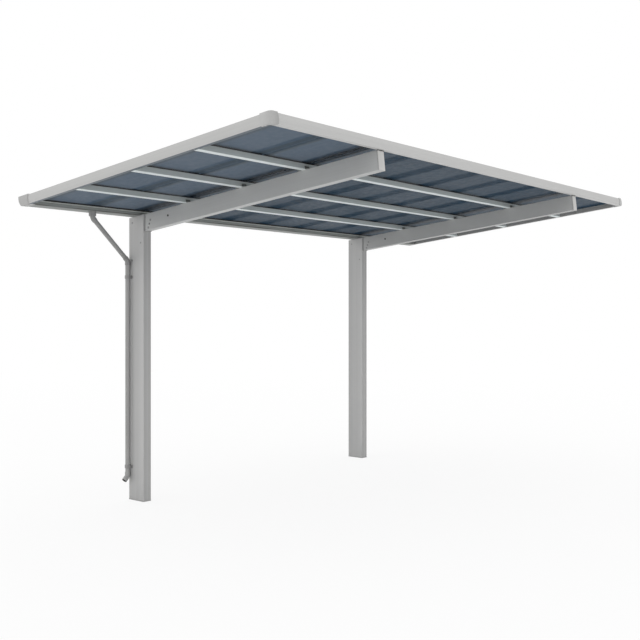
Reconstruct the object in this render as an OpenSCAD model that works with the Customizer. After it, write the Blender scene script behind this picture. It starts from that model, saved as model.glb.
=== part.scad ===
// Cantilever carport with a single slope: two posts carry two rising arms, and purlins, edge rims and
// a gutter hold tinted roof sheets above the parking bay. A round pipe drains the gutter to the ground.
// Sizes are in mm and +Z is up. The origin is the middle of the front post's foot, on the ground.
// +X runs across the bay from the posts to the high edge, and +Y along the gutter to the rear post.

/* [Posts] */
// Post size across the bay
post_depth = 183; // [140:1:260]
// Post size along the gutter
post_width = 77; // [70:1:120]
// Post wall thickness
post_wall = 4; // [3:0.5:8]
// Thickness of the closed foot
post_foot = 10; // [6:1:20]
// Edge rounding of the post
post_round = 4; // [1:0.5:8]
// Distance between the two posts, centre to centre
post_pitch = 2870; // [2200:10:3600]

/* [Roof plane] */
// Height of the arm tops at the face of the posts
eave_height = 2295; // [2000:5:2800]
// Slope of the roof in degrees, rising away from the gutter
roof_pitch = 6.1; // [2:0.1:12]
// Roof length along the gutter, over the rims
roof_length = 4950; // [4200:10:6000]
// Roof run up the slope, from the face of the posts to the high edge
roof_run = 2348; // [1800:2:2800]

/* [Arms and purlins] */
// Arm width
arm_width = 62; // [50:1:70]
// Arm depth, square to the slope
arm_depth = 132; // [100:1:200]
// Arm wall thickness
arm_wall = 4; // [3:0.5:6]
// Edge rounding of the arms and purlins
bar_round = 3; // [1:0.5:4]
// Distance from the end of an arm to the high edge of the roof
arm_setback = 24; // [0:1:60]
// Thickness of the cap on the end of an arm
cap_thickness = 8; // [5:0.5:12]
// Width of the groove between an arm and its cap
cap_groove = 2; // [0.5:0.5:4]
// Depth of the plug that holds a cap in its arm
cap_plug = 20; // [10:1:40]
// Distance of the first purlin from the face of the posts
purlin_start = 494; // [300:2:700]
// Distance between purlins up the slope
purlin_pitch = 603; // [400:1:700]
// Purlin width
purlin_width = 40; // [30:1:60]
// Purlin height, which carries the sheets
purlin_height = 42; // [36:1:60]
// Purlin wall thickness
purlin_wall = 3; // [2:0.5:5]

/* [Rims and corners] */
// Height of the rim's lip above the sheet slot
rim_lip = 11; // [6:1:20]
// Rim width
rim_width = 34; // [32:1:50]
// Radius of the curved outer face of the rim
rim_bulge = 110; // [90:5:300]
// Rim wall thickness
rim_wall = 4; // [3:0.5:6]
// Distance from the outer face to the back of the sheet slot
slot_back = 12; // [10:0.5:14]
// Rounding of the roof corners in plan
corner_round = 26; // [20:1:28]
// Length of a corner piece along the front or rear rim
corner_long_leg = 84; // [60:1:160]
// Length of a corner piece along the high rim or the gutter
corner_short_leg = 60; // [45:1:120]
// How far a corner piece stands proud of the rims, outwards and upwards
corner_proud = 5; // [0.5:0.5:8]

/* [Sheets] */
// Sheet thickness
sheet_thickness = 10; // [6:1:12]
// Distance between the joints of the sheets
sheet_pitch = 473; // [380:1:480]
// Width of the joint between two sheets
joint_gap = 12; // [8:0.5:20]
// Width of a joint strip's flange, which lies on both sheets
joint_flange = 136; // [60:2:160]
// Thickness of a joint strip's flange
joint_thickness = 4; // [2:0.5:5]
// Gap between a joint strip and the edges of the sheets
joint_clear = 0.3; // [0.1:0.05:0.5]

/* [Gutter] */
// Distance from the face of the posts to the inner wall of the gutter
gutter_setback = 62; // [50:1:80]
// Width of the gutter's floor
gutter_floor = 76; // [70:1:100]
// Outward lean of the gutter's outer wall, over its height
gutter_lean = 38; // [10:1:40]
// Gutter wall thickness
gutter_wall = 3; // [2:0.5:5]
// Height of the gutter's inner wall
gutter_inner = 34; // [26:1:35]
// Size of the bead along each top edge of the gutter
gutter_bead = 7; // [3:0.5:7]
// How far the sheets reach over the gutter
sheet_overhang = 90; // [75:1:110]

/* [Downpipe] */
// Pipe diameter
pipe_d = 36; // [30:1:40]
// Pipe wall thickness
pipe_wall = 2; // [1.5:0.5:3]
// Elbow diameter
elbow_d = 42; // [42:0.5:47]
// Bend radius of the elbows, on their axis
elbow_bend = 36; // [30:1:50]
// Depth of the elbow sockets
socket_depth = 18; // [10:1:25]
// Gap around a pipe in its socket
socket_gap = 0.3; // [0.1:0.05:0.5]
// Diameter of the outlet collar under the gutter
collar_d = 56; // [52:1:64]
// Height of the outlet collar
collar_height = 31; // [24:1:40]
// Distance of the outlet in front of the front post's centre
outlet_front = 453; // [300:1:700]
// Gap between the elbows and the front face of the post
pipe_gap = 1; // [1:0.5:20]
// Distance from the pipe's axis to the outer edge of the post's front face
pipe_inset = 9; // [0:1:40]
// Distance of the upper bend below the outlet collar
upper_bend_drop = 12; // [6:1:40]
// Distance of the lower bend below the upper bend
offset_drop = 311; // [200:1:450]
// Height of the spout's bend above the ground
spout_bend_height = 192; // [150:1:400]
// Angle of the spout from vertical
spout_angle = 45; // [20:1:80]
// Length of the spout from its bend
spout_length = 47; // [40:1:90]
// Distance of the upper pipe clip below the lower bend
upper_clip_drop = 132; // [70:1:400]
// Distance of the lower pipe clip above the spout's bend
lower_clip_rise = 78; // [60:1:400]
// Height of a clip's band
clip_height = 26; // [12:1:30]
// Wall of a clip's band
clip_wall = 4; // [3:0.5:6]
// Length of a clip's ear from the pipe's axis
clip_ear = 40; // [34:1:60]

/* [Hidden] */
$fn = 72;
// Larger than the carport, for cutting away one side of a plane
far = 10000;
// Extra length with which a cutter passes through a face
cut = 1;

arm_run = roof_run - arm_setback - cap_thickness - cap_groove;
plug_gap = 0.5;

sheet_count = 10;
middle_joint = sheet_count / 2;
shelf = purlin_height;
slot_spare = 1;
slot_height = sheet_thickness + joint_thickness + slot_spare;
slot_clear = 2;
rim_height = shelf + slot_height + rim_lip;
sheet_low = -sheet_overhang;
sheet_high = roof_run - slot_back - slot_clear;
sheet_side = roof_length / 2 - slot_back - slot_clear;

gutter_in = -gutter_setback;
gutter_out = gutter_in - gutter_floor;
gutter_top = gutter_out - gutter_lean;
gutter_end = gutter_in + 2 * gutter_bead;
gutter_length = roof_length - 2 * corner_short_leg;
seal_height = shelf - gutter_inner;

bore_d = pipe_d - 2 * pipe_wall;
socket_d = pipe_d + 2 * socket_gap;
sleeve_step = 1.5;
bend_d = elbow_d - 2 * sleeve_step;
sleeve_lap = 4;
shoulder_lap = 0.5;
pipe_standoff = elbow_d / 2 + pipe_gap;
pipe_x = -post_depth / 2 + pipe_inset;
pipe_y = -post_width / 2 - pipe_standoff;
outlet_x = post_depth / 2 + (gutter_in - gutter_floor / 2) * cos(roof_pitch);
outlet_z = eave_height + (outlet_x - post_depth / 2) * tan(roof_pitch);
collar_z = outlet_z - collar_height;
upper_bend_z = collar_z - upper_bend_drop;
lower_bend_z = upper_bend_z - offset_drop;
offset_run = norm([pipe_x - outlet_x, pipe_y + outlet_front]);
offset_turn = atan2(pipe_y + outlet_front, pipe_x - outlet_x);
offset_angle = atan2(offset_run, offset_drop);
offset_leg = bend_leg(offset_angle) - shoulder_lap;
spout_leg = bend_leg(spout_angle) - shoulder_lap;
clip_d = pipe_d + 2 * clip_wall;

// Distance from the corner of a bend to where its straight legs start
function bend_leg(angle) = elbow_bend * tan(angle / 2);

// Roof frame: x up the slope from the face of the posts, y from the roof's middle, z square to the slope
module on_roof() {
    translate([post_depth / 2, post_pitch / 2, eave_height]) rotate([0, -roof_pitch, 0]) children();
}

// Everything above the plane of the arm tops
module above_arms() {
    on_roof() translate([-far / 2, -far / 2, 0]) cube(far);
}

// Draw a section (y, z) and run it along x from zero
module along_x(length) {
    rotate([90, 0, 90]) linear_extrude(length) children();
}

// Draw a section (x, z) and run it along y, centred
module along_y(length) {
    rotate([90, 0, 0]) linear_extrude(length, center = true) children();
}

module rounded_rect(size, r) {
    square([size.x - 2 * r, size.y], center = true);
    square([size.x, size.y - 2 * r], center = true);
    for (x = [-1, 1], y = [-1, 1])
        translate([x * (size.x / 2 - r), y * (size.y / 2 - r)]) circle(r);
}

module box_section(size, wall, r) {
    difference() {
        rounded_rect(size, r);
        square([size.x - 2 * wall, size.y - 2 * wall], center = true);
    }
}

// Post with a closed foot, cut at the top to the slope of the roof
module post() {
    color([0.68, 0.69, 0.70]) difference() {
        linear_extrude(eave_height) rounded_rect([post_depth, post_width], post_round);
        translate([0, 0, post_foot]) linear_extrude(eave_height)
            square([post_depth - 2 * post_wall, post_width - 2 * post_wall], center = true);
        above_arms();
    }
}

module front_post() post();
module rear_post() translate([0, post_pitch, 0]) post();

// Cantilever arm: its low end is cut plumb to seat on the post's face
module arm(side) {
    color([0.62, 0.64, 0.65]) difference() {
        on_roof() translate([-arm_depth, side * post_pitch / 2, -arm_depth / 2])
            along_x(arm_depth + arm_run) box_section([arm_width, arm_depth], arm_wall, bar_round);
        translate([post_depth / 2 - far, -far / 2, 0]) cube(far);
    }
}

module front_arm() arm(-1);
module rear_arm() arm(1);

// Cap on the free end of an arm, set off by a groove, with a plug inside the arm
module arm_cap(side) {
    plug = [arm_width, arm_depth] - 2 * (arm_wall + plug_gap) * [1, 1];
    color([0.74, 0.75, 0.76]) on_roof() translate([arm_run, side * post_pitch / 2, -arm_depth / 2]) {
        translate([cap_groove, 0, 0]) along_x(cap_thickness) rounded_rect([arm_width, arm_depth], bar_round);
        translate([-cap_plug, 0, 0]) along_x(cap_plug + cap_groove) square(plug, center = true);
    }
}

module front_arm_cap() arm_cap(-1);
module rear_arm_cap() arm_cap(1);

// Purlin across the arms, between the front and rear rims
module purlin(row) {
    color([0.66, 0.68, 0.69]) on_roof() translate([purlin_start + row * purlin_pitch, 0, purlin_height / 2])
        along_y(roof_length - 2 * rim_width) box_section([purlin_width, purlin_height], purlin_wall, bar_round);
}

module low_purlin() purlin(0);
module middle_purlin() purlin(1);
module high_purlin() purlin(2);

// Solid outline of the rim: a bar with a curved outer face at x = 0, which may stand proud
module rim_outline(width, proud = 0) {
    intersection() {
        translate([-proud, 0]) square([width + proud, rim_height + proud]);
        translate([rim_bulge, rim_height / 2]) circle(rim_bulge + proud, $fn = 180);
    }
}

// Rim with a slot for the sheets and their joint strips, above a hollow shelf
module rim_section() {
    difference() {
        rim_outline(rim_width);
        translate([slot_back, shelf]) square([rim_width, slot_height]);
        translate([slot_back, rim_wall]) square([rim_width - slot_back - rim_wall, shelf - 2 * rim_wall]);
    }
}

module side_rim() {
    color([0.75, 0.76, 0.76]) on_roof() translate([gutter_end, -roof_length / 2, 0])
        along_x(roof_run - corner_long_leg - gutter_end) rim_section();
}

module mirror_lengthwise() {
    translate([0, post_pitch, 0]) mirror([0, 1, 0]) children();
}

module front_rim() side_rim();
module rear_rim() mirror_lengthwise() side_rim();

module high_rim() {
    color([0.75, 0.76, 0.76]) on_roof() translate([roof_run, 0, 0])
        along_y(roof_length - 2 * corner_short_leg) mirror([1, 0]) rim_section();
}

// Corner piece at the high edge, rounded in plan and a little larger than the rims that it joins
module high_corner() {
    color([0.66, 0.67, 0.67]) on_roof() translate([roof_run, -roof_length / 2, 0]) difference() {
        union() {
            translate([-corner_long_leg, 0, 0])
                along_x(corner_long_leg - corner_round) rim_outline(rim_width, corner_proud);
            translate([0, (corner_short_leg + corner_round) / 2, 0])
                along_y(corner_short_leg - corner_round) mirror([1, 0]) rim_outline(rim_width, corner_proud);
            translate([-corner_round, corner_round, 0]) rotate([0, 0, -90]) rotate_extrude(angle = 90)
                translate([corner_round, 0]) mirror([1, 0]) rim_outline(corner_round, corner_proud);
        }
        translate([-slot_back - far, slot_back, shelf]) cube([far, far, slot_height]);
    }
}

module front_high_corner() high_corner();
module rear_high_corner() mirror_lengthwise() high_corner();

// Corner piece that closes an end of the gutter and takes up the rim
module gutter_corner() {
    outer = gutter_top - corner_proud;
    top = rim_height + corner_proud;
    reach = gutter_end - outer;
    width = corner_short_leg + corner_proud;
    color([0.66, 0.67, 0.67]) on_roof() translate([0, -roof_length / 2, 0]) difference() {
        intersection() {
            translate([0, corner_short_leg - width / 2, 0]) along_y(width) polygon([
                [gutter_out - corner_proud, 0], [gutter_end, 0], [gutter_end, top], [outer, top]
            ]);
            translate([outer, 0, 0]) along_x(reach) rim_outline(corner_short_leg, corner_proud);
            translate([outer, -corner_proud, 0]) linear_extrude(top) {
                translate([corner_round, 0]) square([reach - corner_round, width]);
                translate([0, corner_round]) square([reach, width - corner_round]);
                translate([corner_round, corner_round]) circle(corner_round);
            }
        }
        translate([sheet_low - slot_clear, slot_back, shelf]) cube([far, far, slot_height]);
    }
}

module front_gutter_corner() gutter_corner();
module rear_gutter_corner() mirror_lengthwise() gutter_corner();

// Open trough with a leaning outer wall, a low inner wall and a bead along both top edges
module gutter_section() {
    polygon([
        [gutter_out, 0], [gutter_in, 0], [gutter_in, gutter_inner], [gutter_in - gutter_wall, gutter_inner],
        [gutter_in - gutter_wall, gutter_wall], [gutter_out + gutter_wall, gutter_wall],
        [gutter_top + gutter_wall, rim_height], [gutter_top, rim_height]
    ]);
    translate([gutter_in - gutter_wall, gutter_inner - gutter_bead])
        square([gutter_wall + gutter_bead, gutter_bead]);
    translate([gutter_top, rim_height - gutter_bead]) square([gutter_wall + gutter_bead, gutter_bead]);
}

// Gutter on top of the posts, with a hole for the outlet
module gutter() {
    color([0.60, 0.61, 0.60]) difference() {
        on_roof() along_y(gutter_length) gutter_section();
        translate([outlet_x, -outlet_front, 0]) cylinder(h = far, d = bore_d);
    }
}

// Rubber seal between the gutter's inner wall and the sheets
module gutter_seal() {
    color([0.06, 0.06, 0.06]) on_roof()
        along_y(gutter_length) translate([gutter_in - gutter_wall, gutter_inner])
            square([gutter_wall + gutter_bead, seal_height]);
}

// Middle of a joint between sheets, from the roof's middle
function joint_y(index) = (index - middle_joint) * sheet_pitch;

module roof_sheet(index) {
    front = index == 1 ? -sheet_side : joint_y(index - 1) + joint_gap / 2;
    rear = index == sheet_count ? sheet_side : joint_y(index) - joint_gap / 2;
    color([0.36, 0.42, 0.48, 0.85]) on_roof() translate([sheet_low, front, shelf])
        cube([sheet_high - sheet_low, rear - front, sheet_thickness]);
}

// Joint strip: a stem between two sheets, flush with their undersides, below a flange that bears on both
module joint_section() {
    stem = joint_gap - 2 * joint_clear;
    translate([-joint_flange / 2, sheet_thickness]) square([joint_flange, joint_thickness]);
    translate([-stem / 2, 0]) square([stem, sheet_thickness + joint_thickness]);
}

module joint_strip(index) {
    color([0.25, 0.29, 0.33]) on_roof() translate([sheet_low, joint_y(index), shelf])
        along_x(sheet_high - sheet_low) joint_section();
}

module roof_sheet_1() roof_sheet(1);
module roof_sheet_2() roof_sheet(2);
module roof_sheet_3() roof_sheet(3);
module roof_sheet_4() roof_sheet(4);
module roof_sheet_5() roof_sheet(5);
module roof_sheet_6() roof_sheet(6);
module roof_sheet_7() roof_sheet(7);
module roof_sheet_8() roof_sheet(8);
module roof_sheet_9() roof_sheet(9);
module roof_sheet_10() roof_sheet(10);
module joint_strip_1() joint_strip(1);
module joint_strip_2() joint_strip(2);
module joint_strip_3() joint_strip(3);
module joint_strip_4() joint_strip(4);
module joint_strip_5() joint_strip(5);
module joint_strip_6() joint_strip(6);
module joint_strip_7() joint_strip(7);
module joint_strip_8() joint_strip(8);
module joint_strip_9() joint_strip(9);

// Collar under the gutter, cut to its sloping floor, with a socket for the upper elbow
module gutter_outlet() {
    color([0.55, 0.56, 0.56]) difference() {
        translate([outlet_x, -outlet_front, collar_z]) difference() {
            cylinder(h = 2 * collar_height, d = collar_d);
            translate([0, 0, -cut]) cylinder(h = socket_depth + cut, d = elbow_d + 2 * socket_gap);
            translate([0, 0, -cut]) cylinder(h = far, d = bore_d);
        }
        above_arms();
    }
}

// Bend in the xz plane with its corner at the origin: one leg goes up, the other down towards +x
module bend_rod(angle, d) {
    translate([elbow_bend, 0, bend_leg(angle)]) rotate([90, 0, 0]) rotate([0, 0, 180])
        rotate_extrude(angle = angle) translate([elbow_bend, 0]) circle(d = d);
}

// A rod along one leg of a bend, from one distance to another along the leg
module leg_rod(from, to, d) {
    translate([0, 0, from]) cylinder(h = to - from, d = d);
}

module lower_leg(angle) {
    rotate([0, 180 - angle, 0]) children();
}

// Elbow: a bent tube with a sleeve on each leg, whose shoulder stops the pipe
module elbow(angle, upper, lower) {
    root = bend_leg(angle) - sleeve_lap;
    shoulder = bend_leg(angle) - shoulder_lap;
    difference() {
        union() {
            bend_rod(angle, bend_d);
            leg_rod(root, upper, elbow_d);
            lower_leg(angle) leg_rod(root, lower, elbow_d);
        }
        bend_rod(angle, bore_d);
        leg_rod(shoulder, upper + cut, socket_d);
        lower_leg(angle) leg_rod(shoulder, lower + cut, socket_d);
    }
}

module pipe(length) {
    difference() {
        cylinder(h = length, d = pipe_d);
        translate([0, 0, -cut]) cylinder(h = length + 2 * cut, d = bore_d);
    }
}

// Sloping run from the outlet to the post: its frame has the upper bend at the origin and +x to the post
module in_offset() {
    translate([outlet_x, -outlet_front, upper_bend_z]) rotate([0, 0, offset_turn]) children();
}

module upper_elbow() {
    color([0.55, 0.56, 0.56]) in_offset()
        elbow(offset_angle, upper_bend_drop + socket_depth, offset_leg + socket_depth);
}

module offset_pipe() {
    length = norm([offset_run, offset_drop]) - 2 * offset_leg;
    color([0.58, 0.59, 0.59]) in_offset() lower_leg(offset_angle) translate([0, 0, offset_leg]) pipe(length);
}

module lower_elbow() {
    leg = offset_leg + socket_depth;
    color([0.55, 0.56, 0.56]) in_offset() translate([offset_run, 0, -offset_drop]) rotate([0, 180, 0])
        elbow(offset_angle, leg, leg);
}

module downpipe() {
    foot = spout_bend_height + spout_leg;
    head = lower_bend_z - offset_leg;
    color([0.58, 0.59, 0.59]) translate([pipe_x, pipe_y, foot]) pipe(head - foot);
}

// Spout that throws the water forward, away from the post
module spout() {
    color([0.55, 0.56, 0.56]) translate([pipe_x, pipe_y, spout_bend_height]) rotate([0, 0, -90])
        elbow(spout_angle, spout_leg + socket_depth, spout_length);
}

// Clip that holds the pipe to the front face of the post, with an ear for its screw
module pipe_clip(height) {
    color([0.50, 0.51, 0.51]) translate([pipe_x, pipe_y, height - clip_height / 2]) difference() {
        union() {
            cylinder(h = clip_height, d = clip_d);
            cube([clip_d / 2, pipe_standoff, clip_height]);
            translate([0, pipe_standoff - clip_wall, 0]) cube([clip_ear, clip_wall, clip_height]);
        }
        translate([0, 0, -cut]) cylinder(h = clip_height + 2 * cut, d = pipe_d);
    }
}

module upper_pipe_clip() pipe_clip(lower_bend_z - upper_clip_drop);
module lower_pipe_clip() pipe_clip(spout_bend_height + lower_clip_rise);

front_post();
rear_post();
front_arm();
rear_arm();
front_arm_cap();
rear_arm_cap();
low_purlin();
middle_purlin();
high_purlin();
front_rim();
rear_rim();
high_rim();
front_high_corner();
rear_high_corner();
front_gutter_corner();
rear_gutter_corner();
gutter();
gutter_seal();
roof_sheet_1();
roof_sheet_2();
roof_sheet_3();
roof_sheet_4();
roof_sheet_5();
roof_sheet_6();
roof_sheet_7();
roof_sheet_8();
roof_sheet_9();
roof_sheet_10();
joint_strip_1();
joint_strip_2();
joint_strip_3();
joint_strip_4();
joint_strip_5();
joint_strip_6();
joint_strip_7();
joint_strip_8();
joint_strip_9();
gutter_outlet();
upper_elbow();
offset_pipe();
lower_elbow();
downpipe();
spout();
upper_pipe_clip();
lower_pipe_clip();
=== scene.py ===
"""Looks of a cantilever carport: finishes for its solids, its fixings and trims, and a plain studio."""

import math

import bmesh
import bpy
from bpy.props import FloatProperty, FloatVectorProperty, PointerProperty
from mathutils import Matrix, Vector


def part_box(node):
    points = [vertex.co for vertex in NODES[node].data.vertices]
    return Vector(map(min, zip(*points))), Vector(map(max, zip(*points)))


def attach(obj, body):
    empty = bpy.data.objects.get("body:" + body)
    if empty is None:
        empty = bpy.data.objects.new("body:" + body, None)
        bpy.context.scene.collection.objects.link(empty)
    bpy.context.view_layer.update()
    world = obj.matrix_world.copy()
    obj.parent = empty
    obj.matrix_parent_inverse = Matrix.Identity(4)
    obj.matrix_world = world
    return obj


bl_info = {
    "name": "Cantilever carport",
    "version": (1, 0, 0),
    "blender": (4, 5, 0),
    "location": "3D View > Sidebar > Carport",
    "description": "Finishes, fixings and trims of a cantilever carport, with its studio",
    "category": "Object",
}

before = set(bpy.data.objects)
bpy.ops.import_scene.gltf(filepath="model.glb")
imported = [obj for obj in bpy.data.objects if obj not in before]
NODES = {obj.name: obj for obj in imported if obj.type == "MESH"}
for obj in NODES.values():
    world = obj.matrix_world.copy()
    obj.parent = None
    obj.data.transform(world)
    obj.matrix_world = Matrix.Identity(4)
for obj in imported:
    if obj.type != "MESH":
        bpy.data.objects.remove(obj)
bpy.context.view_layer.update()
BODY = "root"

POST_LOW, POST_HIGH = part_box("front_post")
REAR_LOW, REAR_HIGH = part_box("rear_post")
ARM_LOW, ARM_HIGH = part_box("front_arm")
PIPE_LOW, PIPE_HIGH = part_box("downpipe")
POSTS = ((POST_LOW, POST_HIGH), (REAR_LOW, REAR_HIGH))
POST_PITCH = REAR_LOW.y - POST_LOW.y
ARMS = (-POST_PITCH / 2, POST_PITCH / 2)
ARM_HALF = (ARM_HIGH.y - ARM_LOW.y) / 2
ROOF_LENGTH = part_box("rear_rim")[1].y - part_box("front_rim")[0].y

# Directions
UP, DOWN, ALONG_X = (0, 0, 1), (0, 0, -1), (1, 0, 0)

# Screws and the open hole on an arm's side: distance up the slope and height from the arm's top
ARM_SCREWS = ((0.069, -0.057), (0.053, -0.085), (0.038, -0.113))
ARM_HOLE = (0.283, -0.059)

# Corner screws: distances below the high edge, up from the posts' face, and in from the roof's sides
HIGH_CORNER_SCREWS = (0.072, 0.046)
GUTTER_CORNER_SCREWS = (-0.120, -0.070)
CORNER_SCREW_INSET = 0.018

# Colours of dust, mud, and the painted shade on the soles of the front rim and the front high corner
DUST = (0.30, 0.31, 0.30)
MUD = (0.13, 0.12, 0.10)
SOLE_SHADE = (0.060, 0.085, 0.110)


def number(name, description, default, **kind):
    """A number for the panel."""
    return FloatProperty(name=name, description=description, default=default, **kind)


def length(name, description, default):
    """A size in metres for the panel."""
    return number(name, description, default, unit="LENGTH", precision=4)


def colour(name, description, default):
    """A surface colour for the panel."""
    return FloatVectorProperty(
        name=name, description=description, default=default, size=3, subtype="COLOR", min=0.0, max=1.0
    )


def turn(name, description, degrees):
    """An angle for the panel."""
    return number(name, description, math.radians(degrees), subtype="ANGLE")


class CarportSizes(bpy.types.PropertyGroup):
    """Sizes that place the fixings and trims on the solids."""

    roof_pitch: turn("Roof pitch", "Slope of the roof, rising away from the gutter", 6.1)
    purlin_start: length("First purlin", "Distance of the first purlin from the face of the posts", 0.494)
    purlin_pitch: length("Purlin pitch", "Distance between purlins up the slope", 0.603)
    purlin_height: length("Purlin height", "Height of the purlins on the arms", 0.042)
    roof_run: length("Roof run", "Roof length up the slope from the face of the posts", 2.348)
    purlin_width: length("Purlin width", "Width of the purlins", 0.040)
    arm_depth: length("Arm depth", "Depth of the arms, square to the slope", 0.132)
    rim_height: length("Rim height", "Height of the rims over the arm tops", 0.068)
    rim_width: length("Rim width", "Width of the rims", 0.034)
    sheet_pitch: length("Sheet pitch", "Distance between the joints of the sheets", 0.473)
    joint_gap: length("Joint width", "Width of a joint between two sheets", 0.012)
    sheet_thickness: length("Sheet thickness", "Thickness of a roof sheet", 0.010)
    strip_thickness: length("Strip thickness", "Thickness of a joint strip", 0.004)
    sheet_overhang: length("Sheet overhang", "Reach of the sheets over the gutter", 0.090)
    gutter_inner: length("Gutter inner wall", "Distance of the gutter's inner wall from the posts", 0.062)
    tape_lip: length("Tape lip", "Height of the tape's lips beside the purlins' tops", 0.0045)
    seal_lip: length("Seal lip", "Height of the rubber lip in front of the gutter's inner bead", 0.009)
    bead_end: length("Gutter bead", "Place of the inner bead's edge up the slope from the posts", -0.048)
    spout_height: length("Spout height", "Height of the spout's bend above the ground", 0.192)
    spout_angle: turn("Spout angle", "Angle of the spout from vertical", 45)
    screw_head: length("Screw head", "Diameter of the arm screws' heads", 0.015)
    bracket_plate: length("Bracket plate", "Thickness of the purlin brackets", 0.003)
    bracket_width: length("Bracket width", "Width of the purlin brackets", 0.044)
    foot_trim: length("Foot trim", "Height of the trims around the posts' feet", 0.009)
    arm_end: length("Arm end", "Distance of the arms' open ends from the posts, up the slope", 2.314)
    cap_groove: length("Cap groove", "Width of the groove behind the arm caps", 0.002)
    cap_thickness: length("Cap thickness", "Thickness of the arm caps", 0.008)
    post_wall: length("Post wall", "Thickness of the posts' walls", 0.004)
    post_screw_x: length("Post screw place", "Distance of the post screws from the posts' middle", 0.0495)
    post_screw_drop: length("Post screw drop", "Distance of the post screws below the posts' tops", 0.0605)
    plug_x: length("Post plug place", "Distance of the post plugs from the posts' middle", 0.056)
    plug_drop: length("Post plug drop", "Distance of the post plugs below the posts' tops", 0.225)


class CarportColours(bpy.types.PropertyGroup):
    """Base colours of the finishes."""

    post: colour("Posts", "Matt metal of the posts", (0.475, 0.474, 0.47))
    arm: colour("Arms", "Matt metal of the arms", (0.495, 0.50, 0.495))
    purlin: colour("Purlins", "Matt metal of the purlins", (0.51, 0.55, 0.55))
    rim: colour("Rims", "Pale metal of the rims", (0.515, 0.515, 0.508))
    gutter: colour("Gutter", "Metal of the gutter", (0.312, 0.327, 0.314))
    corner: colour("Corners", "Moulded corner pieces", (0.385, 0.385, 0.38))
    cap: colour("Arm caps", "Moulded caps of the arms", (0.52, 0.52, 0.51))
    sheet: colour("Sheets", "Blue-grey tint of the sheets", (0.080, 0.121, 0.174))
    # Painted shade: the tint that darkens the sheets' undersides past the first bay
    underside_shade: colour("Deeper tint", "Tint of the sheets' undersides past the first bay", (0.012, 0.041, 0.075))
    strip: colour("Joint strips", "Dark tint of the joint strips", (0.030, 0.035, 0.042))
    pipe: colour("Pipe", "Grey pipe and its fittings", (0.36, 0.36, 0.355))
    rubber: colour("Rubber", "Black seals", (0.012, 0.012, 0.013))
    steel: colour("Screws", "Zinc-plated screws", (0.30, 0.30, 0.30))
    bracket: colour("Brackets", "Dark purlin brackets", (0.17, 0.18, 0.17))


class CarportStudio(bpy.types.PropertyGroup):
    """Camera and light of the studio."""

    camera_x: length("Camera X", "Camera place across the bay", 5.7979)
    camera_y: length("Camera Y", "Camera place along the gutter", -4.636)
    camera_z: length("Camera height", "Camera height above the ground", 1.5)
    camera_turn: turn("Camera turn", "Camera heading from +Y", 40.068)
    lens: number("Lens", "Focal length in millimetres", 50.73)
    shift: number("Shift", "Vertical shift of the camera", -0.0094)
    sky: number("Sky", "Strength of the white surroundings", 1.0)
    glow: number("Floor glow", "Share of even white in the floor as seen", 0.85)
    bounce: number("Floor bounce", "Share of even white in the floor's light", 0.06)


def sizes():
    """The size settings of this scene."""
    return bpy.context.scene.carport_sizes


def colours():
    """The colour settings of this scene."""
    return bpy.context.scene.carport_colours


def roof_matrix():
    """Roof frame: x up the slope from the posts' face, y from the roof's middle, z square to the slope."""
    place = Matrix.Translation((POST_HIGH.x, POST_PITCH / 2, POST_HIGH.z))
    return place @ Matrix.Rotation(-sizes().roof_pitch, 4, "Y")


def inner_side():
    """Distance of the side rims' inner faces from the roof's middle."""
    return ROOF_LENGTH / 2 - sizes().rim_width


def inner_high():
    """Distance of the high rim's inner face from the posts, up the slope."""
    return sizes().roof_run - sizes().rim_width


class NodeTree:
    """A node tree that is written in Python."""

    def node(self, kind, settings, inputs):
        """Adds any node: its settings first, then the values or links of its sockets."""
        node = self.tree.nodes.new(kind)
        for key, value in (settings or {}).items():
            setattr(node, key, value)
        for key, value in (inputs or {}).items():
            for part in value if isinstance(value, list) else [value]:
                part = getattr(part, "socket", part)
                if isinstance(part, bpy.types.NodeSocket):
                    self.tree.links.new(part, node.inputs[key])
                else:
                    node.inputs[key].default_value = part
        return node


class Value:
    """A shader value that can be used in Python expressions."""

    def __init__(self, shader, socket):
        self.shader = shader
        self.socket = socket

    def math(self, operation, other=0.0):
        """Adds one Math node."""
        return self.shader.add("ShaderNodeMath", {"operation": operation}, {0: self, 1: other})

    def __add__(self, other):
        return self.math("ADD", other)

    def __sub__(self, other):
        return self.math("SUBTRACT", other)

    def __mul__(self, other):
        return self.math("MULTIPLY", other)

    def __mod__(self, other):
        return self.math("FLOORED_MODULO", other)

    def __abs__(self):
        return self.math("ABSOLUTE")

    def stretch(self, low, high, start=0.0, end=1.0):
        """Maps a range of values softly to another range."""
        inputs = {0: self, 1: low, 2: high, 3: start, 4: end}
        return self.shader.add("ShaderNodeMapRange", {"interpolation_type": "SMOOTHSTEP"}, inputs)

    def fall(self, low, high, start=1.0):
        """Maps a range of values softly from a start down to nothing."""
        return self.stretch(low, high, start, 0.0)


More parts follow.
